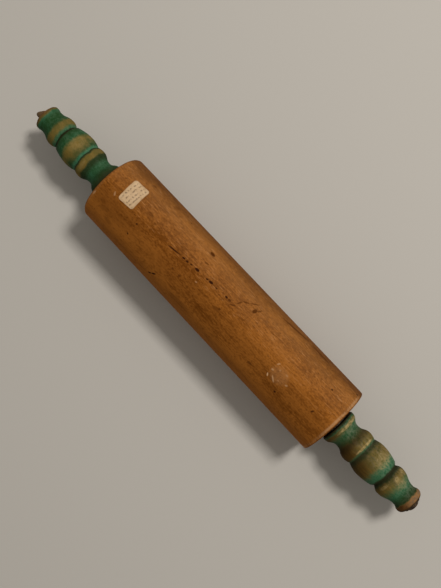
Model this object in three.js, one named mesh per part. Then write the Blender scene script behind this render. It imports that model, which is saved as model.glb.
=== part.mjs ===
// Wooden rolling pin: a maple barrel that turns on a steel rod between two turned and painted handles.
// Millimetres. +X runs along the pin from the left handle to the right one, and +Z is up.
// The origin lies on the table under the middle of the barrel.
import * as THREE from "three";

// Barrel
const BARREL_LENGTH = 254;
const BARREL_DIAMETER = 61;
const LEFT_EDGE_RADIUS = 3;
const RIGHT_EDGE_RADIUS = 1;
const BARREL_BORE_RELIEF = 1.2;

// Steel rod, spread into a low head at each end
const ROD_DIAMETER = 6.4;
const HEAD_DIAMETER = 9.6;
const HEAD_EDGE = 0.7;
const HEAD_CROWN = 1.5;

// Sleeves in the ends of the barrel, on which it runs
const BUSH_LENGTH = 22;
const BUSH_WALL = 1.6;

// Washers between barrel and handle, and between handle and rod head
const THRUST_WASHER_DIAMETER = 20;
const THRUST_WASHER_THICKNESS = 3.2;
const END_WASHER_DIAMETER = 14.4;
const END_WASHER_THICKNESS = 1;

// Handle outline, from the barrel outwards: diameters at its crests and hollows
const COLLAR_DIAMETER = 29.6;
const COVE_DIAMETER = 22;
const INNER_BEAD_DIAMETER = 28.4;
const INNER_GROOVE_DIAMETER = 26;
const SWELL_DIAMETER = 30;
const SHOULDER_DIAMETER = 25.6;
const OUTER_GROOVE_DIAMETER = 21.6;
const OUTER_BEAD_DIAMETER = 26.7;
const LEFT_NECK_DIAMETER = 21.4;
const RIGHT_NECK_DIAMETER = 20;
const RIM_DIAMETER = 22.7;
const LEFT_END_FACE_DIAMETER = 20;
const RIGHT_END_FACE_DIAMETER = 16.4;

// Handle outline, from the barrel outwards: lengths of its stretches
const COLLAR_EDGE_RADIUS = 1;
const COLLAR_LENGTH = 2;
const COVE_FALL = 9.2;
const COVE_RISE = 10.6;
const INNER_BEAD_FALL = 5.4;
const SWELL_RISE = 9;
const SWELL_FALL = 13.2;
const GROOVE_FALL = 2.3;
const OUTER_BEAD_RISE = 5.6;
const LEFT_TAPER_LENGTH = 12;
const RIGHT_TAPER_LENGTH = 14.3;
const RIM_RISE = 5.2;
const LEFT_END_ROUND = 1.4;
const RIGHT_END_ROUND = 3.4;

// Paper label on the barrel
const LABEL_LENGTH = 14.5;
const LABEL_WIDTH = 20.5;
const LABEL_THICKNESS = 0.2;
const LABEL_INSET = 18.3;
const LABEL_ANGLE = THREE.MathUtils.degToRad(20.7);

// Clearances: between pieces that turn on or beside each other or are seated, and under the paper
const CLEARANCE = 0.3;
const PAPER_GAP = 0.1;

// Facets
const BARREL_SIDES = 48;
const TURNED_SIDES = 32;
const CURVE_STEPS = 4;
const LABEL_STEPS = 12;

// Sizes that follow from the ones above
const AXIS_HEIGHT = BARREL_DIAMETER / 2;
const BARREL_END = BARREL_LENGTH / 2;
const ROD_RADIUS = ROD_DIAMETER / 2;
const RUNNING_RADIUS = ROD_RADIUS + CLEARANCE;
const BUSH_RADIUS = RUNNING_RADIUS + BUSH_WALL;
const BUSH_SEAT_RADIUS = BUSH_RADIUS + CLEARANCE;
const BUSH_SEAT_DEPTH = BUSH_LENGTH + CLEARANCE;
const BARREL_BORE_RADIUS = ROD_RADIUS + BARREL_BORE_RELIEF;

// Each turned piece is a closed outline of (distance along X, radius) points, swept round the X axis.
// Radii are measured to the middle of the flats, and one flat faces straight down.
function turned(outline, sides) {
  const acrossFlats = Math.cos(Math.PI / sides);
  const points = outline.getPoints(CURVE_STEPS);
  const profile = points.map(({ x, y }) => new THREE.Vector2(y / acrossFlats, x));
  const geometry = new THREE.LatheGeometry(profile, sides, Math.PI / sides);
  return geometry.rotateZ(-Math.PI / 2);
}

function piece(name, geometry, color, roughness, metalness = 0) {
  const material = new THREE.MeshStandardMaterial({ color, roughness, metalness });
  const mesh = new THREE.Mesh(geometry, material);
  mesh.name = name;
  return mesh;
}

// Plain ring or sleeve from start to end along X
function sleeve(start, end, innerRadius, outerRadius) {
  const outline = new THREE.Path();
  outline.moveTo(start, innerRadius);
  outline.lineTo(start, outerRadius);
  outline.lineTo(end, outerRadius);
  outline.lineTo(end, innerRadius);
  outline.closePath();
  return turned(outline, TURNED_SIDES);
}

// S-shaped stretch, level at both ends
function easeTo(outline, run, diameter) {
  const { x, y } = outline.currentPoint;
  const middle = x + run / 2;
  outline.bezierCurveTo(middle, y, middle, diameter / 2, x + run, diameter / 2);
}

// Round stretch between a crest, where it is level, and a groove, where it is steep
function roundTo(outline, run, diameter) {
  const { x, y } = outline.currentPoint;
  const crest = Math.max(y, diameter / 2);
  outline.quadraticCurveTo(x + run / 2, crest, x + run, diameter / 2);
}

function barrelGeometry() {
  const radius = BARREL_DIAMETER / 2;
  const leftFlank = BARREL_END - LEFT_EDGE_RADIUS;
  const leftShoulder = radius - LEFT_EDGE_RADIUS;
  const rightFlank = BARREL_END - RIGHT_EDGE_RADIUS;
  const rightShoulder = radius - RIGHT_EDGE_RADIUS;
  const seat = BARREL_END - BUSH_SEAT_DEPTH;
  const outline = new THREE.Path();
  outline.moveTo(-BARREL_END, BUSH_SEAT_RADIUS);
  outline.lineTo(-BARREL_END, leftShoulder);
  outline.absarc(-leftFlank, leftShoulder, LEFT_EDGE_RADIUS, Math.PI, Math.PI / 2, true);
  outline.absarc(rightFlank, rightShoulder, RIGHT_EDGE_RADIUS, Math.PI / 2, 0, true);
  outline.lineTo(BARREL_END, BUSH_SEAT_RADIUS);
  outline.lineTo(seat, BUSH_SEAT_RADIUS);
  outline.lineTo(seat, BARREL_BORE_RADIUS);
  outline.lineTo(-seat, BARREL_BORE_RADIUS);
  outline.lineTo(-seat, BUSH_SEAT_RADIUS);
  outline.closePath();
  return turned(outline, BARREL_SIDES);
}

// Handle with its bore, from its collar face at start to its end face; returns where it ends too.
// The two handles differ a little from the neck outwards.
function handleGeometry(start, { taper, neck, endRound, endFace }) {
  const outline = new THREE.Path();
  const collar = COLLAR_DIAMETER / 2;
  outline.moveTo(start, RUNNING_RADIUS);
  outline.lineTo(start, collar - COLLAR_EDGE_RADIUS);
  outline.quadraticCurveTo(start, collar, start + COLLAR_EDGE_RADIUS, collar);
  outline.lineTo(start + COLLAR_LENGTH, collar);
  easeTo(outline, COVE_FALL, COVE_DIAMETER);
  easeTo(outline, COVE_RISE, INNER_BEAD_DIAMETER);
  roundTo(outline, INNER_BEAD_FALL, INNER_GROOVE_DIAMETER);
  roundTo(outline, SWELL_RISE, SWELL_DIAMETER);
  roundTo(outline, SWELL_FALL, SHOULDER_DIAMETER);
  const shoulder = outline.currentPoint.x;
  outline.lineTo(shoulder + GROOVE_FALL, OUTER_GROOVE_DIAMETER / 2);
  roundTo(outline, OUTER_BEAD_RISE, OUTER_BEAD_DIAMETER);
  easeTo(outline, taper, neck);
  easeTo(outline, RIM_RISE, RIM_DIAMETER);
  const end = outline.currentPoint.x + endRound;
  outline.quadraticCurveTo(end, RIM_DIAMETER / 2, end, endFace / 2);
  outline.lineTo(end, RUNNING_RADIUS);
  outline.closePath();
  return { geometry: turned(outline, TURNED_SIDES), end };
}

// Rod with a crowned head beyond each end washer; both tips are equally far from the barrel
function rodGeometry(leftFace, rightFace) {
  const headRadius = HEAD_DIAMETER / 2;
  const leftEdge = leftFace + HEAD_EDGE;
  const rightEdge = rightFace + HEAD_EDGE;
  const tip = Math.max(leftEdge, rightEdge) + HEAD_CROWN;
  const outline = new THREE.Path();
  outline.moveTo(-tip, 0);
  outline.quadraticCurveTo(-tip, headRadius, -leftEdge, headRadius);
  outline.lineTo(-leftFace, headRadius);
  outline.lineTo(-leftFace, ROD_RADIUS);
  outline.lineTo(rightFace, ROD_RADIUS);
  outline.lineTo(rightFace, headRadius);
  outline.lineTo(rightEdge, headRadius);
  outline.quadraticCurveTo(tip, headRadius, tip, 0);
  return turned(outline, TURNED_SIDES);
}

// Sticker bent round the barrel, drawn across the pin and then extruded along it
function labelGeometry() {
  const inner = BARREL_DIAMETER / 2 / Math.cos(Math.PI / BARREL_SIDES) + PAPER_GAP;
  const outer = inner + LABEL_THICKNESS;
  const half = LABEL_WIDTH / 2 / inner;
  const section = new THREE.Shape();
  section.absarc(0, 0, outer, LABEL_ANGLE - half, LABEL_ANGLE + half, false);
  section.absarc(0, 0, inner, LABEL_ANGLE + half, LABEL_ANGLE - half, true);
  section.closePath();
  const geometry = new THREE.ExtrudeGeometry(section, {
    depth: LABEL_LENGTH,
    steps: 1,
    bevelEnabled: false,
    curveSegments: LABEL_STEPS,
  });
  // The section's X becomes +Z and its Y becomes +Y, with the extrusion running back along the pin
  geometry.rotateY(-Math.PI / 2);
  return geometry.translate(LABEL_INSET + LABEL_LENGTH - BARREL_END, 0, 0);
}

const STEEL = 0x5e5850;
const DARK_IRON = 0x2b241d;
const MAPLE = 0x8a5a2a;
const GREEN_PAINT = 0x35674c;
const OLD_PAPER = 0xc9ab80;

const pin = new THREE.Group();
pin.position.z = AXIS_HEIGHT;
pin.add(piece("barrel", barrelGeometry(), MAPLE, 0.6));
pin.add(piece("paper_label", labelGeometry(), OLD_PAPER, 0.9));

const thrustStart = BARREL_END + CLEARANCE;
const thrustEnd = thrustStart + THRUST_WASHER_THICKNESS;
const handleStart = thrustEnd + CLEARANCE;
const ends = [
  {
    side: "left",
    turn: Math.PI,
    taper: LEFT_TAPER_LENGTH,
    neck: LEFT_NECK_DIAMETER,
    endRound: LEFT_END_ROUND,
    endFace: LEFT_END_FACE_DIAMETER,
  },
  {
    side: "right",
    turn: 0,
    taper: RIGHT_TAPER_LENGTH,
    neck: RIGHT_NECK_DIAMETER,
    endRound: RIGHT_END_ROUND,
    endFace: RIGHT_END_FACE_DIAMETER,
  },
];
const headFaces = [];
for (const { side, turn, ...shape } of ends) {
  const bush = sleeve(BARREL_END - BUSH_LENGTH, BARREL_END, RUNNING_RADIUS, BUSH_RADIUS);
  const thrust = sleeve(thrustStart, thrustEnd, RUNNING_RADIUS, THRUST_WASHER_DIAMETER / 2);
  const handle = handleGeometry(handleStart, shape);
  const washerStart = handle.end + CLEARANCE;
  const washerEnd = washerStart + END_WASHER_THICKNESS;
  const washer = sleeve(washerStart, washerEnd, RUNNING_RADIUS, END_WASHER_DIAMETER / 2);
  headFaces.push(washerEnd + CLEARANCE);
  const end = new THREE.Group();
  end.rotation.z = turn;
  end.add(piece(`${side}_bush`, bush, STEEL, 0.5, 1));
  end.add(piece(`${side}_thrust_washer`, thrust, DARK_IRON, 0.7, 0.6));
  end.add(piece(`${side}_handle`, handle.geometry, GREEN_PAINT, 0.5));
  end.add(piece(`${side}_end_washer`, washer, DARK_IRON, 0.7, 0.6));
  pin.add(end);
}
pin.add(piece("axle_rod", rodGeometry(...headFaces), DARK_IRON, 0.6, 0.7));

const rollingPin = new THREE.Group();
rollingPin.add(pin);

export default rollingPin;
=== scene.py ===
"""Looks of a wooden rolling pin: worn maple barrel, painted handles, steel rod and paper sticker."""
import functools
import math

import bmesh
import bpy
from bpy.props import FloatProperty, FloatVectorProperty, PointerProperty
from mathutils import Matrix, Vector, noise
from mathutils.geometry import interpolate_bezier


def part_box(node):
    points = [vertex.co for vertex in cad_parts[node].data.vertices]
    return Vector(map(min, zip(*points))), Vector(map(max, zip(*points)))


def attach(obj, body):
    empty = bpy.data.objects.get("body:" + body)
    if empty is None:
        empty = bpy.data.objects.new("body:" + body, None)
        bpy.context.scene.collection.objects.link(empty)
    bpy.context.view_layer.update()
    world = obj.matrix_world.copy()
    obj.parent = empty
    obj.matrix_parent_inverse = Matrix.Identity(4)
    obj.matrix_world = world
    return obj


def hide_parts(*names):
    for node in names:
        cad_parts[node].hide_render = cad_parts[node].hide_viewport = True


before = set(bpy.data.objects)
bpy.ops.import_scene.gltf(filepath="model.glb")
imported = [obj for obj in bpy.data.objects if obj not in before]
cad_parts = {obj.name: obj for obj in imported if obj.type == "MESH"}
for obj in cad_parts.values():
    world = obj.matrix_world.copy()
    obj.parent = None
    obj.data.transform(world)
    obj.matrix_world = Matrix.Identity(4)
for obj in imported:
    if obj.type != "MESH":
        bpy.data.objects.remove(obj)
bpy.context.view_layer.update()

bl_info = {
    "name": "Rolling Pin",
    "version": (1, 0, 0),
    "blender": (4, 5, 0),
    "location": "View3D > Sidebar > Rolling Pin",
    "description": "Builds a worn wooden rolling pin with painted handles",
    "category": "Add Mesh",
}

MM = 0.001
BARREL_LOW, BARREL_HIGH = (Vector(corner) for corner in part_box("barrel"))
AXIS_HEIGHT = (BARREL_LOW.z + BARREL_HIGH.z) / 2
BARREL_RADIUS = (BARREL_HIGH.z - BARREL_LOW.z) / 2
BARREL_END = BARREL_HIGH.x
AXIS = Vector((0, 0, AXIS_HEIGHT))
ALONG = Vector((1, 0, 0))
SIDES = {"left": -1, "right": 1}
# Points closer than this are one point, and places closer than the slack count as the same
MERGE_DISTANCE = 0.002 * MM
SLACK = 0.01 * MM
# Facets round each kind of turned piece
FACETS = {"barrel": 160, "handle": 112, "rod": 64, "ring": 72}
# Strips of the paper sticker each way, and where its curl starts, as a share of the way to the edge
LABEL_CUTS = 28
CURL_START = 0.72


def length(label, text, millimetres):
    """A length property, given in millimetres."""
    return FloatProperty(
        name=label, description=text, default=millimetres * MM, min=0, unit="LENGTH", precision=5)


def share(label, text, value):
    """A property from nothing to all."""
    return FloatProperty(name=label, description=text, default=value, min=0, max=1, subtype="FACTOR")


def colour(label, text, value):
    """A colour property in linear light."""
    return FloatVectorProperty(
        name=label, description=text, default=value, size=3, min=0, max=1, subtype="COLOR")


class BarrelLooks(bpy.types.PropertyGroup):
    """Shape and wood of the barrel."""
    left_edge: length("Left edge", "Rounding of the barrel's left end edge", 3)
    right_edge: length("Right edge", "Rounding of the barrel's right end edge", 1)
    bush_seat: length("Bush seat", "Radius of the seat for the bush in each end", 5.4)
    seat_depth: length("Seat depth", "Depth of the seat for the bush", 22.3)
    bore: length("Bore", "Radius of the hole for the rod between the bushes", 4.4)
    wear: length("Edge wear", "How far the end edges are worn down unevenly", 0.5)
    unevenness: length("Unevenness", "How far the barrel is off round", 0.06)
    pith: FloatVectorProperty(
        name="Pith", description="Middle of the growth rings across the pin and above the table", size=2,
        default=(0.026, 0.078), subtype="COORDINATES", unit="LENGTH")
    honey: colour("Honey", "Light tone of the maple", (0.270, 0.091, 0.0125))
    brown: colour("Brown", "Dark tone of the maple", (0.116, 0.033, 0.0025))
    # This colour also paints a band of shade just to the near side of the top
    russet_and_shade: colour("Russet", "Old stains, specks and shallow scratches", (0.066, 0.018, 0.0018))
    # This colour is painted sheen: it makes the far side, which faces the lamp, paler and greyer
    lamp_side_sheen: colour("Olive", "Faded wood on the far side", (0.262, 0.135, 0.048))
    # This colour also paints the shade along the far edge
    pore_and_shade: colour("Pore", "Colour of cracks and dents", (0.030, 0.008, 0.0018))
    # This colour also paints the sheen along the top of the barrel
    pale: colour("Pale", "Scuffed edges and the dried glue of a lost sticker", (0.46, 0.27, 0.13))


class HandleSizes(bpy.types.PropertyGroup):
    """Outline of a handle, from the barrel outwards."""
    bore: length("Bore", "Radius of the hole for the rod", 3.5)
    collar: length("Collar", "Diameter of the collar", 29.6)
    collar_edge: length("Collar edge", "Rounding of the collar's edge", 1)
    collar_run: length("Collar run", "Length of the collar", 2)
    cove: length("Cove", "Diameter at the bottom of the cove", 22)
    cove_fall: length("Cove fall", "Length from the collar to the cove's bottom", 9.2)
    cove_rise: length("Cove rise", "Length from the cove's bottom to the inner bead", 10.6)
    inner_bead: length("Inner bead", "Diameter of the inner bead", 28.4)
    inner_bead_fall: length("Inner bead fall", "Length from the inner bead to its groove", 5.4)
    inner_groove: length("Inner groove", "Diameter at the bottom of the inner groove", 26)
    swell: length("Swell", "Largest diameter of the swell", 30)
    swell_rise: length("Swell rise", "Length from the inner groove to the swell's crest", 9)
    swell_fall: length("Swell fall", "Length from the swell's crest to its shoulder", 13.2)
    shoulder: length("Shoulder", "Diameter of the swell's shoulder", 25.6)
    groove_fall: length("Groove fall", "Length from the shoulder to the outer groove", 2.3)
    outer_groove: length("Outer groove", "Diameter at the bottom of the outer groove", 21.6)
    outer_bead: length("Outer bead", "Diameter of the outer bead", 26.7)
    outer_bead_rise: length("Outer bead rise", "Length from the outer groove to the outer bead", 5.6)
    left_taper: length("Left taper", "Length from the left handle's outer bead to its neck", 12)
    left_neck: length("Left neck", "Diameter of the left handle's neck", 21.4)
    right_taper: length("Right taper", "Length from the right handle's outer bead to its neck", 14.3)
    right_neck: length("Right neck", "Diameter of the right handle's neck", 20)
    rim: length("Rim", "Diameter of the rim", 22.7)
    rim_rise: length("Rim rise", "Length from the neck to the rim", 5.2)
    left_end_round: length("Left end round", "Length of the left handle's rounded end", 1.4)
    left_end_face: length("Left end face", "Diameter of the left handle's flat end", 20)
    right_end_round: length("Right end round", "Length of the right handle's rounded end", 3.4)
    right_end_face: length("Right end face", "Diameter of the right handle's flat end", 16.4)
    knock: length("Knock", "Depth of broad knocks", 0.10)
    nick: length("Nick", "Depth of small knocks", 0.04)
    tip_wear: length("Tip wear", "How far the ends are worn down unevenly", 0.5)
    tip_run: length("Tip run", "Length of the worn ends", 4)
    left_dust: share("Left dust", "Pale dust on the left handle", 0.05)
    right_dust: share("Right dust", "Pale dust on the right handle", 0.20)
    left_stain: share("Left stain", "Brown stain on the left handle", 0.0)
    right_stain: share("Right stain", "Brown stain on the right handle", 0.8)
    left_kept: share("Left kept", "Paint kept round the sides of the left handle's swell", 0.20)
    right_kept: share("Right kept", "Paint kept round the sides of the right handle's swell", 0.0)
    green: colour("Green", "Colour of the paint", (0.0135, 0.049, 0.0130))
    # This colour also paints highlights as light lines along the crests
    bright: colour("Bright green", "Paint where it is thin and clean", (0.040, 0.138, 0.069))
    bare: colour("Bare wood", "Wood where the paint has worn off", (0.156, 0.101, 0.0205))
    # This colour also paints the shade in the grooves, next to the barrel and on the ends
    grime_and_shade: colour("Grime", "Dirt in the grooves and on the ends", (0.020, 0.012, 0.0045))
    end_wood: colour("End wood", "Bare wood on the rims", (0.225, 0.108, 0.036))
    stain: colour("Stain", "Brown stain on the lower side of the right handle", (0.046, 0.017, 0.0020))
    dust: colour("Dust", "Dust on the paint", (0.36, 0.31, 0.22))
    # This colour also paints highlights on the crests of the lit side
    rub_and_highlight: colour("Rub", "Wood rubbed pale by hands", (0.33, 0.235, 0.095))


class MetalLooks(bpy.types.PropertyGroup):
    """Rod, washers and bushes."""
    rod: length("Rod", "Radius of the rod", 3.2)
    head_gap: length("Head gap", "Clearance between each head and its washer", 0.3)
    head_edge: length("Head edge", "Straight edge of each head", 0.7)
    head_bump: length("Head bump", "How unevenly the rod's heads were hammered", 0.35)
    head_lean: length("Head lean", "How far the left head was hammered over to one side", 3.4)
    head_taper: share("Head taper", "How much the left head narrows towards its tip", 0.3)
    chamfer: length("Chamfer", "Bevel on the edges of washers and bushes", 0.2)
    # This colour is darkened past the steel's own oxide: painted shade for the rod's right end and the
    # washers in the gap by the barrel
    iron_and_shade: colour("Iron", "Darkened steel of the rod and the washers", (0.026, 0.016, 0.010))
    rust: colour("Rust", "Brown bloom on the dark steel", (0.105, 0.060, 0.024))
    steel: colour("Steel", "Dull steel of the bushes", (0.36, 0.34, 0.31))


class LabelLooks(bpy.types.PropertyGroup):
    """Paper sticker on the barrel."""
    turn: FloatProperty(
        name="Turn", description="How far the sticker is turned on the barrel", default=math.radians(5),
        subtype="ANGLE")
    thickness: length("Thickness", "Thickness of the paper", 0.16)
    glue: length("Glue", "Gap between the barrel and the paper", 0.03)
    corner: length("Corner", "Radius of the sticker's corners", 1.9)
    lift: length("Lift", "How far the corners curl off the barrel", 0.3)
    paper: colour("Paper", "Yellowed paper", (0.50, 0.335, 0.187))
    stain: colour("Stain", "Brown stains on the paper", (0.30, 0.175, 0.075))
    ink: colour("Ink", "Faded ink of the ruled dashes", (0.115, 0.070, 0.036))


class StageLooks(bpy.types.PropertyGroup):
    """Camera, light and floor."""
    focal: FloatProperty(
        name="Focal length", description="Lens of the camera", default=45.306 * MM, unit="CAMERA")
    place: FloatVectorProperty(
        name="Camera place", description="Where the camera stands", default=(0.05664, 0.05862, 0.60519),
        subtype="TRANSLATION")
    aim: FloatVectorProperty(
        name="Camera aim", description="Point on the floor at the middle of the picture",
        default=(-0.00701, 0.00093, 0), subtype="TRANSLATION")
    picture_up: FloatVectorProperty(
        name="Picture up", description="Direction that points up in the picture",
        default=(-0.7242, 0.6896, 0), subtype="DIRECTION")
    key_place: FloatVectorProperty(
        name="Key place", description="Where the main lamp hangs", default=(0.25, 1.15, 1.62),
        subtype="TRANSLATION")
    key_power: FloatProperty(
        name="Key power", description="Power of the main lamp", default=31, unit="POWER")
    key_size: length("Key size", "Side of the main lamp", 340)
    ambient: share("Ambient", "Light from all round", 0.37)
    sky: colour("Sky", "Colour of the light from all round", (1, 0.985, 0.96))
    floor: colour("Floor", "Colour of the floor", (0.435, 0.40, 0.35))
    floor_reach: length("Floor reach", "How far the floor reaches to each side", 3000)


class Wire:
    """One value in a material's node tree. Arithmetic on it adds Math nodes."""

    def __init__(self, tree, socket):
        self.tree = tree
        self.socket = socket

    def math(self, operation, *values):
        node = self.tree.nodes.new("ShaderNodeMath")
        node.operation = operation
        for socket, value in zip(node.inputs, values):
            plug(self.tree, socket, value)
        return Wire(self.tree, node.outputs[0])

    def __add__(self, other):
        return self.math("ADD", self, other)

    def __radd__(self, other):
        return self.math("ADD", other, self)

    def __sub__(self, other):
        return self.math("SUBTRACT", self, other)

    def __rsub__(self, other):
        return self.math("SUBTRACT", other, self)

    def __mul__(self, other):
        return self.math("MULTIPLY", self, other)

    def __rmul__(self, other):
        return self.math("MULTIPLY", other, self)

    def __truediv__(self, other):
        return self.math("DIVIDE", self, other)

    def __abs__(self):
        return self.math("ABSOLUTE", self)

    def most(self, other):
        return self.math("MAXIMUM", self, other)

    def least(self, other):
        return self.math("MINIMUM", self, other)

    def fract(self):
        return self.math("FRACT", self)

    def root(self):
        return self.math("SQRT", self)

    def sine(self):
        return self.math("SINE", self)


def plug(tree, socket, value):
    """Links a wire to a socket, or sets the socket's own value."""
    if isinstance(value, Wire):
        tree.links.new(value.socket, socket)
    elif socket.type == "RGBA":
        socket.default_value = (*value, 1)
    else:
        socket.default_value = value


class Finish:
    """A material whose nodes are added by one method."""

    def __init__(self, name):
        self.material = bpy.data.materials.new(name)
        self.material.use_nodes = True
        self.tree = self.material.node_tree
        self.shader = self.tree.nodes["Principled BSDF"]
        point = self.add("ShaderNodeTexCoord", output="Object")
        self.place = self.add("ShaderNodeVectorMath", {"operation": "SCALE"}, {0: point, "Scale": 1 / MM})
        self.x, self.y, self.z = (
            self.add("ShaderNodeSeparateXYZ", sockets={0: self.place}, output=axis) for axis in "XYZ")

    def add(self, kind, settings=(), sockets=(), output=0):
        """Adds a node, sets it, fills its sockets and returns one of its outputs."""
        node = self.tree.nodes.new(kind)
        for key, value in dict(settings).items():
            if key == "stops":
                fill_ramp(node.color_ramp, value)
            else:
                setattr(node, key, value)
        for key, value in dict(sockets).items():
            plug(self.tree, node.inputs[key], value)
        return Wire(self.tree, node.outputs[output])

    def noise(self, stretch, detail=4.0, roughness=0.55, shift=0.0):
        """Noise between 0 and 1 with a grain of 1 / stretch millimetres along each axis."""
        where = self.add(
            "ShaderNodeMapping",
            sockets={"Vector": self.place, "Scale": stretch, "Location": (shift, shift, shift)})
        return self.add(
            "ShaderNodeTexNoise",
            sockets={"Vector": where, "Scale": 1, "Detail": detail, "Roughness": roughness})

    def step(self, value, low, high):
        """Smooth rise from 0 at low to 1 at high."""
        return self.add(
            "ShaderNodeMapRange", {"interpolation_type": "SMOOTHSTEP"},
            {"Value": value, "From Min": low, "From Max": high})

    def mix(self, factor, first, second):
        """Colour between two colours."""
        return self.add("ShaderNodeMix", {"data_type": "RGBA"}, {0: factor, 6: first, 7: second}, output=2)

    def angle(self):
        """Angle round the pin's axis, from the top towards +Y, in radians."""
        return self.x.math("ARCTAN2", self.y, self.z - AXIS_HEIGHT / MM)

    def spot(self, along, around, mark):
        """Mask of a long oval mark: place, half length, half width, slant and depth."""
        x, arc, half_length, half_width, slant, depth = mark
        turn = math.radians(slant)
        dx = along - x
        dy = around - arc
        u = (dx * math.cos(turn) + dy * math.sin(turn)) / half_length
        v = (dy * math.cos(turn) - dx * math.sin(turn)) / half_width
        return self.step(u * u + v * v, 1.0, 0.25) * depth

    def strongest(self, along, around, marks):
        """Mask of the strongest of a list of marks at each point."""
        masks = [self.spot(along, around, mark) for mark in marks]
        return functools.reduce(Wire.most, masks)

    def paint(self, base, roughness, height=None, bump=0.2, depth=0.05, metallic=0.0, specular=0.5):
        """Feeds the shader: colour, roughness and a bump whose depth is in millimetres."""
        plug(self.tree, self.shader.inputs["Base Color"], base)
        plug(self.tree, self.shader.inputs["Roughness"], roughness)
        plug(self.tree, self.shader.inputs["Metallic"], metallic)
        self.shader.inputs["Specular IOR Level"].default_value = specular
        if height is not None:
            normal = self.add(
                "ShaderNodeBump", sockets={"Height": height, "Strength": bump, "Distance": depth * MM})
            plug(self.tree, self.shader.inputs["Normal"], normal)
        return self.material


def fill_ramp(ramp, stops):
    """Sets a ramp from stops of a position and three values."""
    while len(ramp.elements) > 1:
        ramp.elements.remove(ramp.elements[-1])
    for index, (position, *values) in enumerate(stops):
        element = ramp.elements[0] if index == 0 else ramp.elements.new(position)
        element.position = position
        element.color = (*values, 1)


# Marks on the barrel, in millimetres along the pin and round from its top, with their half length,
# half width, slant in degrees and depth: a drying crack, dents in a row after it, a scratch and stray dents
DENTS = (
    (-48.7, 4.1, 7.4, 0.60, 8, 0.95),
    (-39.2, 5.2, 1.8, 0.85, 7, 1.0),
    (-35.6, 5.3, 1.5, 0.80, 8, 0.95),
    (-31.9, 5.9, 1.4, 0.70, 11, 0.75),
    (-25.9, 6.5, 2.5, 1.30, 5, 0.95),
    (-15.6, 7.0, 1.3, 0.80, 6, 0.8),
    (-11.8, 7.5, 2.3, 1.20, 8, 1.0),
    (-5.9, 7.4, 1.2, 0.75, 2, 0.6),
    (4.1, 8.3, 1.6, 1.00, -4, 0.8),
    (-51.6, -25.5, 2.2, 0.80, 38, 0.85),
    (-48.4, -22.8, 2.6, 0.90, 41, 0.9),
    (-83.1, -3.0, 0.9, 0.80, 13, 0.8),
    (-83.7, -13.9, 1.1, 0.80, -20, 0.75),
    (-57.2, 32.0, 0.9, 0.75, 3, 0.65),
    (79.1, -14.7, 1.2, 1.00, 15, 0.85),
    (108.1, -3.4, 1.7, 0.90, 63, 0.65),
    (106.9, 18.8, 1.1, 0.90, 6, 0.7),
    (123.2, 34.7, 1.3, 0.95, 0, 0.8),
    (60.0, 62.0, 5.0, 0.70, 6, 0.6),
    (-70.0, 80.0, 6.0, 0.70, -5, 0.6),
    (20.0, -70.0, 5.0, 0.70, 4, 0.6),
)
# Wandering scratches, a knot and soft stains, in the same terms
STAINS = (
    (11.6, 7.6, 3.4, 0.80, 30, 0.75),
    (13.8, 12.6, 2.4, 0.75, 62, 0.8),
    (17.0, 16.8, 3.6, 0.75, 29, 0.8),
    (22.2, 21.2, 5.0, 0.70, 41, 0.75),
    (26.1, 16.9, 2.8, 1.90, 76, 0.95),
    (28.6, 20.0, 2.8, 0.90, 64, 0.6),
    (7.4, 8.4, 1.7, 1.30, 10, 0.8),
    (7.0, -1.6, 1.3, 1.00, 30, 0.9),
    (-32.2, -6.6, 1.5, 1.00, -18, 0.7),
    (-39.7, -6.2, 1.4, 1.00, 2, 0.6),
    (-24.6, 15.4, 2.4, 0.90, 7, 0.6),
    (47.4, 14.8, 2.4, 0.60, 6, 0.5),
    (51.2, -13.6, 2.6, 1.30, -3, 0.7),
    (-81.1, 8.9, 4.4, 3.0, 11, 0.40),
    (-73.3, 32.1, 4.4, 2.6, 56, 0.45),
    (-97.9, 30.2, 3.0, 2.2, 34, 0.45),
    (-71.5, 14.5, 3.6, 1.9, 14, 0.35),
    (-27.4, 25.0, 3.0, 1.9, -7, 1.0),
    (5.1, -3.4, 4.0, 1.8, 8, 0.35),
    (56.9, 35.7, 17.0, 1.6, 10, 0.80),
    (83.4, 37.0, 12.0, 1.7, -1, 0.75),
    (101.8, 29.6, 7.0, 3.0, 76, 0.25),
    (-110.1, -13.4, 7.0, 3.0, 18, 0.38),
    (-102.8, -19.5, 5.5, 2.4, -9, 0.34),
    (-20.0, -24.0, 16.0, 3.4, 3, 0.35),
    (-106.0, -5.0, 28.0, 15.0, 0, 0.24),
)
# Flecks of dried glue left by a lost sticker, and one pale scuff, in the same terms
FLECKS = (
    (66.2, -9.0, 1.8, 0.65, 124, 0.95),
    (71.4, -8.4, 3.6, 0.75, 143, 0.60),
    (66.3, -3.5, 1.4, 0.95, 14, 0.50),
    (66.5, 2.5, 1.8, 0.75, 59, 0.45),
    (70.6, 0.1, 1.1, 0.85, 2, 0.35),
    (81.7, -4.5, 1.4, 0.95, 25, 0.45),
    (76.8, 0.9, 1.6, 1.00, -5, 0.30),
    (74.9, -6.4, 1.3, 0.90, -10, 0.25),
    (72.9, -3.1, 9.6, 8.20, 0, 0.10),
    (-111.8, 0.7, 2.3, 0.95, 122, 0.35),
    (-124.6, -10.5, 2.6, 1.0, 84, 0.35),
    (-19.8, -0.4, 1.3, 0.8, 8, 0.3),
)


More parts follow.
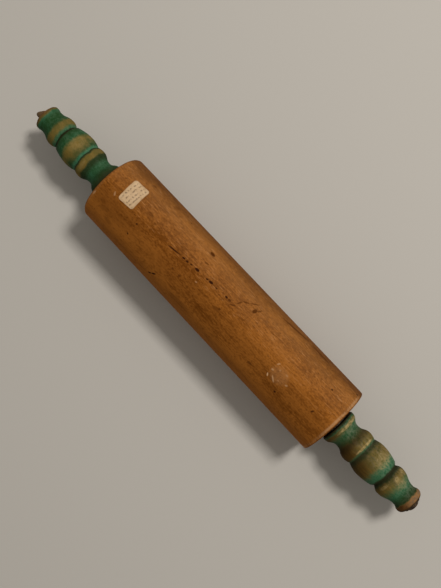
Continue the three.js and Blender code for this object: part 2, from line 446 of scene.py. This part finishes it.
class Maple(Finish):
    """Aged maple: grain with painted light and shade first, then marks, then the ends of the barrel."""

    def __init__(self, looks):
        super().__init__("aged_maple")
        self.looks = looks
        self.arc = self.angle() * (BARREL_RADIUS / MM)
        self.patches = self.noise((0.016, 0.045, 0.045), 3, 0.55)
        self.mottles = self.noise((0.085, 0.20, 0.20), 5, 0.66, 3.1)
        self.blots = self.noise((0.50, 0.90, 0.90), 4, 0.68, 9.4)
        self.streaks = self.noise((0.035, 0.55, 0.55), 4, 0.68, 7.7)
        self.hairs = self.noise((0.13, 1.35, 1.35), 4, 0.68, 5.2)
        flecks = self.noise((0.62, 0.90, 0.90), 3, 0.55, 1.9)
        self.specks = self.step(flecks, 0.58, 0.70) * self.step(self.mottles, 0.38, 0.60)

    def grain(self):
        """Honey and brown mottles with fine grain, with painted light: fill light on the near side, sheen on
        the far side, shade along the far edge and a band of shade just to the near side of the top.
        """
        looks = self.looks
        # Painted fill light: the near side is made lighter, and darker grain lines are drawn on that side
        # only
        fill_lit_side = self.step(self.y, -13.5, -25.0)
        tone = self.patches * 0.66 + self.mottles * 0.42 + self.blots * 0.84
        tone = tone + self.streaks * 0.26 + self.hairs * 0.76 + fill_lit_side * 0.20
        base = self.mix(self.step(tone, 1.23, 1.66), looks.brown, looks.honey)
        # Painted sheen: a paler, greyer tint over the far side, which faces the lamp
        base = self.mix(self.step(self.y, 11.7, 27.4) * 0.22, base, looks.lamp_side_sheen)
        # Painted sheen: a faint pale band along the barrel, just to the far side of the top
        base = self.mix(self.step(abs(self.arc - 17.0), 15.0, 4.0) * 0.045, base, looks.pale)
        # Painted shade: darker along the far edge
        base = self.mix(self.step(self.y, 23.0, 30.2) * 0.44, base, looks.pore_and_shade)
        # Painted shade: a darker, redder band just to the near side of the top
        base = self.mix(self.step(abs(self.arc + 8.0), 12.0, 3.0) * 0.20, base, looks.russet_and_shade)
        lines = self.step(self.hairs + self.streaks * 0.5 + self.blots * 0.4, 0.98, 0.80)
        base = self.mix(lines * fill_lit_side * 0.50, base, looks.brown)
        pale_hairs = self.step(self.hairs, 0.56, 0.70) * self.step(self.y, -6.0, 8.0)
        base = self.mix(pale_hairs * 0.24, base, looks.pale)
        return self.mix(self.specks * 0.75, base, looks.russet_and_shade)

    def marked(self, base, dents):
        """Stains, dents and dried glue on the wood."""
        looks = self.looks
        stains = self.strongest(self.x, self.arc, STAINS)
        base = self.mix(stains * (0.45 + self.blots), base, looks.russet_and_shade)
        base = self.mix((dents * 1.25).least(1.0), base, looks.pore_and_shade)
        glue = self.strongest(self.x, self.arc, FLECKS)
        return self.mix(glue * (0.5 + self.blots), base, looks.pale)

    def ended(self, base):
        """Rubbed end edges, and growth rings on the end faces."""
        looks = self.looks
        end_gap = BARREL_END / MM - abs(self.x)
        right_end = self.step(self.x, -1.0, 1.0)
        rubbed = self.step(abs(end_gap - 1.9), 1.6, 0.2)
        rubbed = rubbed * self.step(self.patches + self.blots * 0.6, 0.62, 0.95)
        base = self.mix(rubbed * (0.08 + right_end * 0.38), base, looks.pale)
        base = self.mix(self.step(end_gap, 0.95, 0.25) * 0.6, base, looks.pore_and_shade)
        across = self.y - looks.pith[0] / MM
        up = self.z - looks.pith[1] / MM
        distance = (across * across + up * up).root()
        rings = (distance * 0.34 + self.patches * 4.0 + self.mottles * 1.4).fract()
        end_grain = self.mix(self.step(rings, 0.05, 0.95) * 0.32 + self.blots * 0.7, looks.brown, looks.honey)
        end_grain = self.mix(self.specks * 0.6, end_grain, looks.russet_and_shade)
        return self.mix(self.step(end_gap, 0.40, 0.10) * 0.85, base, end_grain)


def maple_finish(looks):
    """Aged maple with a drying crack, dents, stains and dried glue."""
    wood = Maple(looks)
    dents = wood.strongest(wood.x, wood.arc, DENTS)
    base = wood.ended(wood.marked(wood.grain(), dents))
    height = wood.streaks * 0.5 + wood.blots * 0.4 - dents * 2.0 - wood.specks * 0.4
    roughness = 0.62 + wood.mottles * 0.16 + dents * 0.2
    return wood.paint(base, roughness, height, bump=0.35, depth=0.14, specular=0.03)


# Bands along each handle: distance from the barrel's end in millimetres, share of bare wood,
# brightness of the paint, which also paints highlights along the crests, and soiling, which also paints
# shade in the grooves, next to the barrel and on the ends. The worn band on the right collar is also a
# painted highlight
LEFT_BANDS = (
    (0.0, 0.00, 0.00, 0.95), (5.0, 0.00, 0.03, 0.75), (9.0, 0.00, 0.08, 0.35), (13.0, 0.00, 0.30, 0.15),
    (17.0, 0.00, 0.32, 0.10), (20.0, 0.02, 0.10, 0.52), (22.0, 0.22, 0.10, 0.60), (23.6, 0.85, 0.20, 0.14),
    (27.4, 0.90, 0.20, 0.12), (28.6, 0.40, 0.15, 0.42), (29.5, 0.05, 0.10, 0.88), (30.3, 0.05, 0.85, 0.10),
    (31.6, 0.22, 0.80, 0.00), (33.2, 0.46, 0.22, 0.18), (36.0, 0.64, 0.24, 0.12), (40.5, 0.90, 0.40, 0.00),
    (44.0, 0.62, 0.25, 0.00), (46.5, 0.25, 0.25, 0.04), (49.0, 0.06, 0.22, 0.10), (52.4, 0.02, 0.12, 0.25),
    (53.6, 0.00, 0.10, 0.90), (55.0, 0.10, 0.10, 0.80), (56.0, 0.20, 0.75, 0.10), (57.4, 0.35, 0.60, 0.04),
    (59.0, 0.74, 0.26, 0.08), (62.4, 0.72, 0.22, 0.12), (65.0, 0.18, 0.12, 0.15), (67.4, 0.00, 0.08, 0.05),
    (73.5, 0.00, 0.10, 0.08), (76.0, 0.05, 0.40, 0.06), (77.0, 0.45, 0.50, 0.15), (78.4, 0.90, 0.20, 0.50),
)
RIGHT_BANDS = (
    (0.0, 0.00, 0.00, 1.00), (4.6, 0.00, 0.05, 0.80), (5.6, 0.05, 0.30, 0.30), (6.6, 0.62, 0.50, 0.00),
    (8.4, 0.66, 0.50, 0.00), (10.4, 0.36, 0.50, 0.00), (14.0, 0.12, 0.22, 0.15), (17.0, 0.28, 0.12, 0.40),
    (20.0, 0.60, 0.10, 0.72), (22.6, 0.80, 0.15, 0.55), (24.6, 0.90, 0.30, 0.15), (27.6, 0.92, 0.35, 0.05),
    (29.2, 0.45, 0.55, 0.05), (30.2, 0.20, 0.35, 0.32), (31.2, 0.20, 0.10, 0.78), (32.8, 0.40, 0.15, 0.70),
    (35.0, 0.70, 0.30, 0.35), (40.0, 0.82, 0.40, 0.12), (44.5, 0.70, 0.60, 0.00), (47.5, 0.36, 0.70, 0.00),
    (52.4, 0.03, 0.55, 0.05), (54.0, 0.00, 0.20, 0.84), (56.4, 0.10, 0.10, 0.85), (58.4, 0.70, 0.20, 0.45),
    (62.0, 0.80, 0.40, 0.10), (66.0, 0.46, 0.60, 0.00), (70.5, 0.14, 0.45, 0.00), (75.4, 0.02, 0.15, 0.45),
    (78.2, 0.30, 0.10, 0.60), (79.2, 1.00, 0.40, 0.10), (82.0, 1.00, 0.40, 0.05), (83.2, 0.60, 0.10, 0.95),
)
BANDS = {"left": LEFT_BANDS, "right": RIGHT_BANDS}
# Length that the bands are measured against, and where the bare tip starts, in millimetres
HANDLE_REACH = 90
TIP_START = 78.4, 79.2
# Places on the handles rubbed pale, most of them on crests of the lit side, where they are also painted
# highlights, in the terms of the barrel's marks but measured from the barrel's end
RUBS_AND_HIGHLIGHTS = {
    "left": (
        (40.0, 4.0, 5.5, 10.0, 0, 0.22),
        (25.5, -6.0, 1.8, 8.0, 0, 0.20),
    ),
    "right": (
        (8.2, 7.8, 1.3, 13.0, 0, 0.95),
        (27.9, 5.9, 1.2, 11.5, 0, 1.00),
        (44.0, 8.5, 7.0, 9.0, 0, 0.38),
        (47.5, 6.0, 2.0, 5.0, 0, 0.55),
        (61.8, 6.6, 2.6, 2.6, 0, 0.80),
        (60.3, 16.0, 2.2, 3.2, 0, 0.65),
        (59.6, -6.0, 1.5, 6.0, 0, 0.40),
        (67.0, 7.0, 4.0, 7.0, 0, 0.32),
    ),
}
# Radius, in millimetres, that turns an angle round a handle into a distance
RUB_AND_HIGHLIGHT_RADIUS = 14


class Paint(Finish):
    """Worn green paint on one handle: paint and bare wood first, then what lies on them, with painted
    highlights and shade.
    """

    def __init__(self, looks, side):
        super().__init__(f"worn_green_paint_{side}")
        self.looks = looks
        self.side = side
        self.dustiness = getattr(looks, f"{side}_dust")
        self.stained = getattr(looks, f"{side}_stain")
        kept = getattr(looks, f"{side}_kept")
        shift = 11.0 * SIDES[side]
        self.broad = self.noise((0.09, 0.12, 0.12), 4, 0.6, shift)
        self.chips = self.noise((0.34, 0.40, 0.40), 5, 0.70, shift + 3)
        self.streaks = self.noise((0.07, 0.95, 0.95), 4, 0.6, shift + 5)
        self.specks = self.noise((0.95, 0.95, 0.95), 3, 0.6, shift + 8)
        self.from_barrel = abs(self.x) - BARREL_END / MM
        self.reach = self.from_barrel + (self.broad - 0.5) * 4.0
        self.tip = self.step(self.reach, *TIP_START)
        stops = [(place / HANDLE_REACH, *values) for place, *values in BANDS[side]]
        bands = self.add("ShaderNodeValToRGB", {"stops": stops}, {0: self.reach / HANDLE_REACH})
        lost, self.clean, self.soiling_and_shade = (
            self.add("ShaderNodeSeparateColor", sockets={0: bands}, output=part)
            for part in ("Red", "Green", "Blue"))
        worn = lost + (self.chips - 0.5) * 0.75 + (self.specks - 0.5) * 0.40
        worn = worn + (self.streaks - 0.5) * lost * self.stained * 0.5
        swell_sides = self.step(abs(self.angle() - 0.1), 0.40, 1.10) * self.step(abs(self.reach - 40), 10, 6)
        self.bare = self.step(worn - swell_sides * kept, 0.12, 0.86)

    def rubbed_coat(self):
        """Green paint with painted highlights, rubbed through to bare wood on the crests and the tip."""
        looks = self.looks
        # The paint's brightness column also paints highlights along the crests
        tone = self.clean + (self.broad - 0.5) * 0.7 + (self.chips - 0.5) * 1.1 + (self.specks - 0.5)
        green = self.mix(tone, looks.green, looks.bright)
        grimy = self.step(self.streaks, 0.58, 0.34) * (0.12 + self.stained * 0.35)
        wood = self.mix(grimy, looks.bare, looks.grime_and_shade)
        wood = self.mix(self.step(self.broad, 0.56, 0.40) * 0.25, wood, looks.green)
        wood = self.mix(self.tip, wood, looks.end_wood)
        wood = self.mix(self.tip * self.step(self.chips, 0.44, 0.66) * 0.7, wood, looks.stain)
        return self.mix(self.bare, green, wood)

    def soiled(self, base):
        """Brown stain, soiling with painted shade in the grooves and next to the barrel, pale dust on the lit
        side, and places rubbed pale with painted highlights.
        """
        looks = self.looks
        far_side = self.angle().sine()
        handled = self.step(far_side, 0.30, -0.52) * self.step(self.reach, 76, 30).most(self.tip)
        base = self.mix(handled * self.stained * (self.bare * 0.7 + 0.25), base, looks.stain)
        base = self.mix(self.step(self.specks, 0.60, 0.74) * 0.45, base, looks.grime_and_shade)
        # Soiling in the grooves and on the ends, with painted shade there and in the gap next to the barrel
        base = self.mix(self.soiling_and_shade * (0.62 + self.chips * 0.7), base, looks.grime_and_shade)
        # Pale dust drawn on the lit side only, so it is dust and painted light together
        lit = self.step(far_side, -0.48, 0.48)
        lit_dust = self.step(self.chips + (self.specks - 0.5) * 0.35, 0.36, 0.72) * lit * (1 - self.soiling_and_shade)
        base = self.mix(lit_dust * self.dustiness, base, looks.dust)
        # Rubbed pale places, most on the lit crests, where they are also painted highlights
        rubbed = self.strongest(self.from_barrel, self.angle() * RUB_AND_HIGHLIGHT_RADIUS, RUBS_AND_HIGHLIGHTS[self.side])
        thin = self.step(self.chips + (self.specks - 0.5) * 0.5, 0.22, 0.72)
        return self.mix(rubbed * thin, base, looks.rub_and_highlight)


def paint_finish(looks, side):
    """Worn green paint for the handle of one side."""
    coat = Paint(looks, side)
    base = coat.soiled(coat.rubbed_coat())
    height = (1 - coat.bare) * 0.6 + coat.chips * 0.3 + coat.streaks * coat.bare * 0.4
    roughness = 0.46 + coat.bare * 0.16 + coat.chips * 0.10 + coat.soiling_and_shade * 0.15
    return coat.paint(base, roughness, height, bump=0.35, depth=0.10, specular=0.03)


def iron_finish(looks):
    """Dark steel with a brown bloom, most of it at the left end; the dark steel is partly painted shade."""
    iron_and_shade = Finish("dark_iron")
    bloom = iron_and_shade.noise((0.5, 0.5, 0.5), 5, 0.65)
    pits = iron_and_shade.noise((2.2, 2.2, 2.2), 3, 0.6, 4)
    rusty = iron_and_shade.step(bloom + iron_and_shade.step(iron_and_shade.x, 1.0, -1.0) * 0.25, 0.44, 0.70)
    base = iron_and_shade.mix(rusty, looks.iron_and_shade, looks.rust)
    height = bloom * 0.6 + pits * 0.4
    return iron_and_shade.paint(base, 0.42 + bloom * 0.35, height, 0.5, 0.15, 0.6 - rusty * 0.6, 0.15)


def steel_finish(looks):
    """Dull steel, turned, with a little tarnish."""
    steel = Finish("dull_steel")
    tarnish = steel.noise((0.3, 0.3, 0.3), 4, 0.6)
    scratches = steel.noise((6.0, 0.4, 0.4), 3, 0.6, 2)
    base = steel.mix(steel.step(tarnish, 0.42, 0.75) * 0.7, looks.steel, looks.rust)
    return steel.paint(base, 0.34 + scratches * 0.25, scratches, bump=0.3, depth=0.05, metallic=0.9)


def paper_finish(looks, middle, half):
    """Yellowed paper: fibres, brown stains, rubbed edges and rows of faded dashes."""
    paper = Finish("old_paper")
    arc = paper.angle() * (BARREL_RADIUS / MM)
    along = abs(paper.x - middle[0]) / half[0]
    around = abs(arc - middle[1]) / half[1]
    fibres = paper.noise((1.6, 1.6, 1.6), 4, 0.65)
    stains = paper.noise((0.22, 0.22, 0.22), 5, 0.65, 6)
    outer = along.most(around)
    rim = paper.step(outer, 0.80, 1.0)
    breaks = paper.noise((0.5, 0.75, 0.75), 3, 0.65, 9)
    rows = (paper.x - middle[0]) / half[0] * 2.4 + (stains - 0.5) * 0.9 + (breaks - 0.5) * 0.7
    dashes = paper.step(abs(rows.fract() - 0.5), 0.28, 0.12) * paper.step(outer, 0.90, 0.80)
    dashes = dashes * paper.step(breaks, 0.44, 0.58)
    base = paper.mix(paper.step(stains, 0.42, 0.72) * 0.6 + rim * 0.35, looks.paper, looks.stain)
    base = paper.mix(paper.step(fibres, 0.60, 0.80) * 0.3, base, looks.stain)
    base = paper.mix(dashes * 0.72, base, looks.ink)
    return paper.paint(base, 0.82, fibres * 0.6 + stains, bump=0.4, depth=0.08, specular=0.25)


class Outline:
    """Half section of a turned piece: points of (distance along the pin, distance from its axis)."""

    def __init__(self, x, radius):
        self.points = [Vector((x, radius, 0))]

    @property
    def x(self):
        return self.points[-1].x

    def line(self, x, radius, parts=1):
        first = self.points[-1].copy()
        last = Vector((x, radius, 0))
        self.points += [first.lerp(last, step / parts) for step in range(1, parts + 1)]

    def bend(self, handle_a, handle_b, end, steps=12):
        handles = [Vector((*point, 0)) for point in (handle_a, handle_b, end)]
        curve = interpolate_bezier(self.points[-1], *handles, steps + 1)
        self.points += curve[1:]

    def corner(self, corner, end, steps=8):
        """Round stretch that leaves towards a corner and arrives from it, close to a quarter circle."""
        pull = 0.552
        first = self.points[-1].xy
        handle_a = first.lerp(Vector(corner), pull)
        handle_b = Vector(end).lerp(Vector(corner), pull)
        self.bend(handle_a, handle_b, end, steps)

    def ease(self, run, diameter):
        """S-shaped stretch, level at both ends."""
        x, radius = self.points[-1].xy
        middle = x + run / 2
        self.bend((middle, radius), (middle, diameter / 2), (x + run, diameter / 2))

    def round(self, run, diameter):
        """Round stretch between a level crest and a steep groove."""
        first = self.points[-1].xy
        end = Vector((first.x + run, diameter / 2))
        crest = Vector((first.x + run / 2, max(first.y, end.y)))
        self.bend(first.lerp(crest, 2 / 3), end.lerp(crest, 2 / 3), end)

    def mirrored(self):
        """The same section at the other end of the pin."""
        for point in self.points:
            point.x = -point.x
        return self


def spin(outline, closed, steps):
    """Sweeps an outline round the pin's axis into a closed shell."""
    shell = bmesh.new()
    verts = [shell.verts.new((point.x, 0, AXIS_HEIGHT + point.y)) for point in outline.points]
    pairs = list(zip(verts, verts[1:]))
    if closed:
        pairs.append((verts[-1], verts[0]))
    edges = [shell.edges.new(pair) for pair in pairs]
    bmesh.ops.spin(
        shell, geom=verts + edges, cent=AXIS, axis=ALONG, dvec=(0, 0, 0), angle=math.tau, steps=steps,
        use_merge=True, use_duplicate=False)
    bmesh.ops.remove_doubles(shell, verts=shell.verts, dist=MERGE_DISTANCE)
    bmesh.ops.recalc_face_normals(shell, faces=shell.faces)
    return shell


def swell(shell, amount):
    """Moves each point away from the pin's axis by amount(point), in metres."""
    for vert in shell.verts:
        out = vert.co - AXIS
        out.x = 0
        if out.length > 0:
            vert.co += out.normalized() * amount(vert.co)


def finished(name, shell, material, body, nodes, sharp=40):
    """Makes the object of a shell, with its finish, its body and the CAD nodes it stands for."""
    mesh = bpy.data.meshes.new(name)
    shell.to_mesh(mesh)
    shell.free()
    mesh.materials.append(material)
    mesh.shade_smooth()
    mesh.set_sharp_from_angle(angle=math.radians(sharp))
    piece = bpy.data.objects.new(name, mesh)
    bpy.context.scene.collection.objects.link(piece)
    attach(piece, body)
    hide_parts(*nodes)
    return piece


def ripple(point, grain, seed):
    """Smooth noise between -1 and 1, with a grain given in millimetres."""
    return noise.noise(point / (grain * MM) + Vector((seed, seed, seed)))


class PIN_OT_barrel(bpy.types.Operator):
    """Turn the barrel, with worn end edges and its bore"""
    bl_idname = "pin.barrel"
    bl_label = "Barrel"

    def execute(self, context):
        looks = context.scene.pin_barrel
        end = BARREL_END
        radius = BARREL_RADIUS
        left = looks.left_edge
        right = looks.right_edge
        outline = Outline(-end, looks.bush_seat)
        outline.line(-end, radius - left, 6)
        outline.corner((-end, radius), (left - end, radius))
        outline.line(end - right, radius, 120)
        outline.corner((end, radius), (end, radius - right))
        outline.line(end, looks.bush_seat, 6)
        outline.line(end - looks.seat_depth, looks.bush_seat)
        outline.line(end - looks.seat_depth, looks.bore)
        outline.line(looks.seat_depth - end, looks.bore)
        outline.line(looks.seat_depth - end, looks.bush_seat)
        shell = spin(outline, True, FACETS["barrel"])

        def worn(point):
            if Vector((point.y, point.z - AXIS_HEIGHT)).length < radius - 2 * left:
                return 0
            edge = left if point.x < 0 else right
            near_end = max(0, 1 - (end - abs(point.x)) / (2.2 * edge)) * edge / left
            chipped = max(0, ripple(point, 9, 2) + 0.25) * near_end * looks.wear
            return -chipped - (0.5 + 0.5 * ripple(point, 38, 5)) * looks.unevenness

        swell(shell, worn)
        finished("barrel_wood", shell, maple_finish(looks), "barrel", ["barrel"])
        return {"FINISHED"}


class PIN_OT_handles(bpy.types.Operator):
    """Turn both handles from one outline and paint each with its own wear"""
    bl_idname = "pin.handles"
    bl_label = "Handles"

    def execute(self, context):
        sizes = context.scene.pin_handle
        for side, sign in SIDES.items():
            outline = self.outline(sizes, side)
            if sign < 0:
                outline.mirrored()
            shell = spin(outline, True, FACETS["handle"])
            reach = max(abs(vert.co.x) for vert in shell.verts)
            swell(shell, functools.partial(self.worn, sizes, sign, reach))
            name = f"{side}_handle"
            finished(f"{name}_wood", shell, paint_finish(sizes, side), name, [name], 50)
        return {"FINISHED"}

    def worn(self, sizes, sign, reach, point):
        """How far knocks and a worn tip move a point of the handle outwards."""
        if Vector((point.y, point.z - AXIS_HEIGHT)).length < sizes.bore * 1.05:
            return 0
        knocks = ripple(point, 6, 3 * sign) * sizes.knock + ripple(point, 2.2, 7 * sign) * sizes.nick
        tip = max(0, 1 - (reach - abs(point.x)) / sizes.tip_run)
        return knocks - tip * abs(ripple(point, 3, 9)) * sizes.tip_wear

    def outline(self, sizes, side):
        low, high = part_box(f"{side}_handle")
        start = min(abs(low[0]), abs(high[0]))
        collar = sizes.collar / 2
        outline = Outline(start, sizes.bore)
        outline.line(start, collar - sizes.collar_edge, 4)
        outline.corner((start, collar), (start + sizes.collar_edge, collar))
        outline.line(start + sizes.collar_run, collar, 4)
        outline.ease(sizes.cove_fall, sizes.cove)
        outline.ease(sizes.cove_rise, sizes.inner_bead)
        outline.round(sizes.inner_bead_fall, sizes.inner_groove)
        outline.round(sizes.swell_rise, sizes.swell)
        outline.round(sizes.swell_fall, sizes.shoulder)
        outline.line(outline.x + sizes.groove_fall, sizes.outer_groove / 2, 4)
        outline.round(sizes.outer_bead_rise, sizes.outer_bead)
        taper, neck, end_round, end_face = (
            getattr(sizes, f"{side}_{part}") for part in ("taper", "neck", "end_round", "end_face"))
        outline.ease(taper, neck)
        outline.ease(sizes.rim_rise, sizes.rim)
        end = outline.x + end_round
        outline.corner((end, sizes.rim / 2), (end, end_face / 2))
        outline.line(end, sizes.bore, 4)
        return outline


class PIN_OT_rod(bpy.types.Operator):
    """Turn the steel rod and spread its hammered heads"""
    bl_idname = "pin.rod"
    bl_label = "Rod"

    def execute(self, context):
        looks = context.scene.pin_metal
        low, high = (Vector(corner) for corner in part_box("axle_rod"))
        tip = high.x
        left_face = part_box("left_end_washer")[0][0] - looks.head_gap
        right_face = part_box("right_end_washer")[1][0] + looks.head_gap
        head = (high.z - low.z) / 2
        rod = looks.rod
        edge = looks.head_edge
        outline = Outline(-tip, 0)
        outline.corner((-tip, head), (left_face - edge, head))
        outline.line(left_face, head, 3)
        outline.line(left_face, rod)
        outline.line(right_face, rod)
        outline.line(right_face, head)
        outline.line(right_face + edge, head, 3)
        outline.corner((tip, head), (tip, 0))
        shell = spin(outline, False, FACETS["rod"])

        def hammered(point):
            on_shaft = left_face + SLACK < point.x < right_face - SLACK
            if on_shaft or Vector((point.y, point.z - AXIS_HEIGHT)).length <= rod * 1.02:
                return 0
            return (ripple(point, 4, 1) - 0.4) * looks.head_bump

        swell(shell, hammered)
        for vert in shell.verts:
            past = max(0, left_face - vert.co.x) / (tip + left_face)
            narrow = 1 - looks.head_taper * past
            vert.co = AXIS + (vert.co - AXIS) * Vector((1, narrow, narrow))
            vert.co.y -= looks.head_lean * past
        finished("axle_rod_steel", shell, iron_finish(looks), "axle", ["axle_rod"])
        return {"FINISHED"}


class PIN_OT_rings(bpy.types.Operator):
    """Turn the bushes and washers as rings with bevelled edges"""
    bl_idname = "pin.rings"
    bl_label = "Bushes and washers"

    def execute(self, context):
        looks = context.scene.pin_metal
        steel = steel_finish(looks)
        iron_and_shade = iron_finish(looks)
        kinds = (
            ("bush", "barrel", "steel", steel),
            # The thrust washers take the dark iron so that they stay dark in the gap by the barrel: painted
            # shade
            ("thrust_washer", "axle", "dark_iron", iron_and_shade),
            ("end_washer", "axle", "dark_iron", iron_and_shade),
        )
        bore = context.scene.pin_handle.bore
        for side in SIDES:
            for kind, body, slot, material in kinds:
                node = f"{side}_{kind}"
                low, high = (Vector(corner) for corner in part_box(node))
                outer = (high.z - low.z) / 2
                ring = Outline(low.x, bore)
                ring.line(low.x, outer)
                ring.line(high.x, outer)
                ring.line(high.x, bore)
                shell = spin(ring, True, FACETS["ring"])
                rims = [edge for edge in shell.edges if edge.calc_face_angle(0) > math.radians(60)]
                bmesh.ops.bevel(
                    shell, geom=rims, offset=looks.chamfer, segments=2, profile=0.5, affect="EDGES",
                    material=-1)
                finished(f"{node}_ring", shell, material, body, [node])
        return {"FINISHED"}


class PIN_OT_label(bpy.types.Operator):
    """Cut the paper sticker, bend it round the barrel and curl its corners"""
    bl_idname = "pin.label"
    bl_label = "Paper label"

    def execute(self, context):
        looks = context.scene.pin_label
        low, high = (Vector(corner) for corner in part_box("paper_label"))
        skin = BARREL_RADIUS + looks.glue
        first, last = (math.atan2(*at) for at in self.edges(low, high))
        half = Vector(((high.x - low.x) / 2, (last - first) / 2 * skin))
        middle = Vector(((high.x + low.x) / 2, (last + first) / 2 * skin))
        sheet = self.cut(looks, half)
        for vert in sheet.verts:
            vert.co = self.bent(looks, half, middle, skin, vert.co)
        bmesh.ops.recalc_face_normals(sheet, faces=sheet.faces)
        face = sheet.faces[:][0]
        if face.normal.dot(face.calc_center_median() - AXIS) < 0:
            bmesh.ops.reverse_faces(sheet, faces=sheet.faces)
        bmesh.ops.solidify(sheet, geom=sheet.faces[:], thickness=looks.thickness)
        material = paper_finish(looks, middle / MM, half / MM)
        finished("paper_label_sheet", sheet, material, "barrel", ["paper_label"])
        return {"FINISHED"}

    def edges(self, low, high):
        """The sticker's two edges along the pin, as (distance along Y, height over the axis)."""
        return (low.y, high.z - AXIS_HEIGHT), (high.y, low.z - AXIS_HEIGHT)

    def cut(self, looks, half):
        """A flat sheet with round corners, divided finely enough to bend."""
        sheet = bmesh.new()
        bmesh.ops.create_grid(sheet, x_segments=1, y_segments=1, size=1)
        bmesh.ops.scale(sheet, vec=(half.x, half.y, 1), verts=sheet.verts)
        bmesh.ops.bevel(
            sheet, geom=sheet.verts[:], offset=looks.corner, segments=5, profile=0.5, affect="VERTICES",
            material=-1)
        for axis, reach in ((Vector((1, 0, 0)), half.x), (Vector((0, 1, 0)), half.y)):
            for cut in range(1, LABEL_CUTS):
                place = axis * (reach * (2 * cut / LABEL_CUTS - 1))
                geom = sheet.verts[:] + sheet.edges[:] + sheet.faces[:]
                bmesh.ops.bisect_plane(sheet, geom=geom, plane_co=place, plane_no=axis)
        return sheet

    def bent(self, looks, half, middle, skin, point):
        """A point of the flat sheet, turned, laid on the barrel and curled up near the edges."""
        x, arc = point.xy
        outer = max(abs(x) / half.x, abs(arc) / half.y)
        curl = max(0, outer - CURL_START) / (1 - CURL_START)
        lift = looks.lift * curl * curl * (0.45 + 0.55 * ripple(Vector((x, arc, 0)), 7, 4))
        place = Matrix.Rotation(looks.turn, 2) @ point.xy
        angle = (middle.y + place.y) / skin
        reach = skin + looks.thickness + max(0, lift)
        return Vector((middle.x + place.x, reach * math.sin(angle), AXIS_HEIGHT + reach * math.cos(angle)))


class PIN_OT_stage(bpy.types.Operator):
    """Lay the floor, hang the lamps and set up the camera"""
    bl_idname = "pin.stage"
    bl_label = "Stage"

    def execute(self, context):
        looks = context.scene.pin_stage
        scene = context.scene
        scene.view_settings.view_transform = "Standard"
        self.camera(scene, looks)
        self.lamp(scene, looks)
        self.world(scene, looks)
        self.floor(scene, looks)
        return {"FINISHED"}

    def camera(self, scene, looks):
        data = bpy.data.cameras.new("camera")
        data.lens = looks.focal / MM
        data.clip_start = 0.01
        camera = bpy.data.objects.new("camera", data)
        back = (Vector(looks.place) - Vector(looks.aim)).normalized()
        right = Vector(looks.picture_up).cross(back).normalized()
        turn = Matrix((right, back.cross(right), back)).transposed()
        camera.matrix_world = Matrix.Translation(looks.place) @ turn.to_4x4()
        scene.collection.objects.link(camera)
        scene.camera = camera

    def lamp(self, scene, looks):
        data = bpy.data.lights.new("key", "AREA")
        data.energy = looks.key_power
        data.size = looks.key_size
        lamp = bpy.data.objects.new("key", data)
        away = Vector(looks.key_place)
        lamp.matrix_world = Matrix.Translation(away) @ away.to_track_quat("Z", "Y").to_matrix().to_4x4()
        scene.collection.objects.link(lamp)

    def world(self, scene, looks):
        scene.world = bpy.data.worlds.new("soft_light")
        scene.world.use_nodes = True
        backdrop = scene.world.node_tree.nodes["Background"]
        backdrop.inputs["Color"].default_value = (*looks.sky, 1)
        backdrop.inputs["Strength"].default_value = looks.ambient

    def floor(self, scene, looks):
        sheet = bmesh.new()
        bmesh.ops.create_grid(sheet, x_segments=1, y_segments=1, size=looks.floor_reach)
        mesh = bpy.data.meshes.new("floor")
        sheet.to_mesh(mesh)
        sheet.free()
        floor = bpy.data.objects.new("floor", mesh)
        material = bpy.data.materials.new("pale_floor")
        material.use_nodes = True
        shader = material.node_tree.nodes["Principled BSDF"]
        shader.inputs["Base Color"].default_value = (*looks.floor, 1)
        shader.inputs["Roughness"].default_value = 0.9
        shader.inputs["Specular IOR Level"].default_value = 0.1
        mesh.materials.append(material)
        scene.collection.objects.link(floor)


OPERATORS = (PIN_OT_stage, PIN_OT_barrel, PIN_OT_handles, PIN_OT_rod, PIN_OT_rings, PIN_OT_label)
GROUPS = {
    "pin_barrel": BarrelLooks,
    "pin_handle": HandleSizes,
    "pin_metal": MetalLooks,
    "pin_label": LabelLooks,
    "pin_stage": StageLooks,
}


class PIN_PT_sidebar(bpy.types.Panel):
    """Lists the pieces of the rolling pin and their settings"""
    bl_idname = "PIN_PT_sidebar"
    bl_label = "Rolling Pin"
    bl_space_type = "VIEW_3D"
    bl_region_type = "UI"
    bl_category = "Rolling Pin"

    def draw(self, context):
        for operator in OPERATORS:
            self.layout.operator(operator.bl_idname)
        for name, group in GROUPS.items():
            box = self.layout.box()
            box.label(text=group.__doc__)
            for setting in group.__annotations__:
                box.prop(getattr(context.scene, name), setting)


CLASSES = (*GROUPS.values(), *OPERATORS, PIN_PT_sidebar)


def register():
    for item in CLASSES:
        bpy.utils.register_class(item)
    for name, group in GROUPS.items():
        setattr(bpy.types.Scene, name, PointerProperty(type=group))


def unregister():
    for name in GROUPS:
        delattr(bpy.types.Scene, name)
    for item in reversed(CLASSES):
        bpy.utils.unregister_class(item)


def main():
    register()
    for operator in OPERATORS:
        group, name = operator.bl_idname.split(".")
        getattr(getattr(bpy.ops, group), name)()


if __name__ == "__main__":
    main()
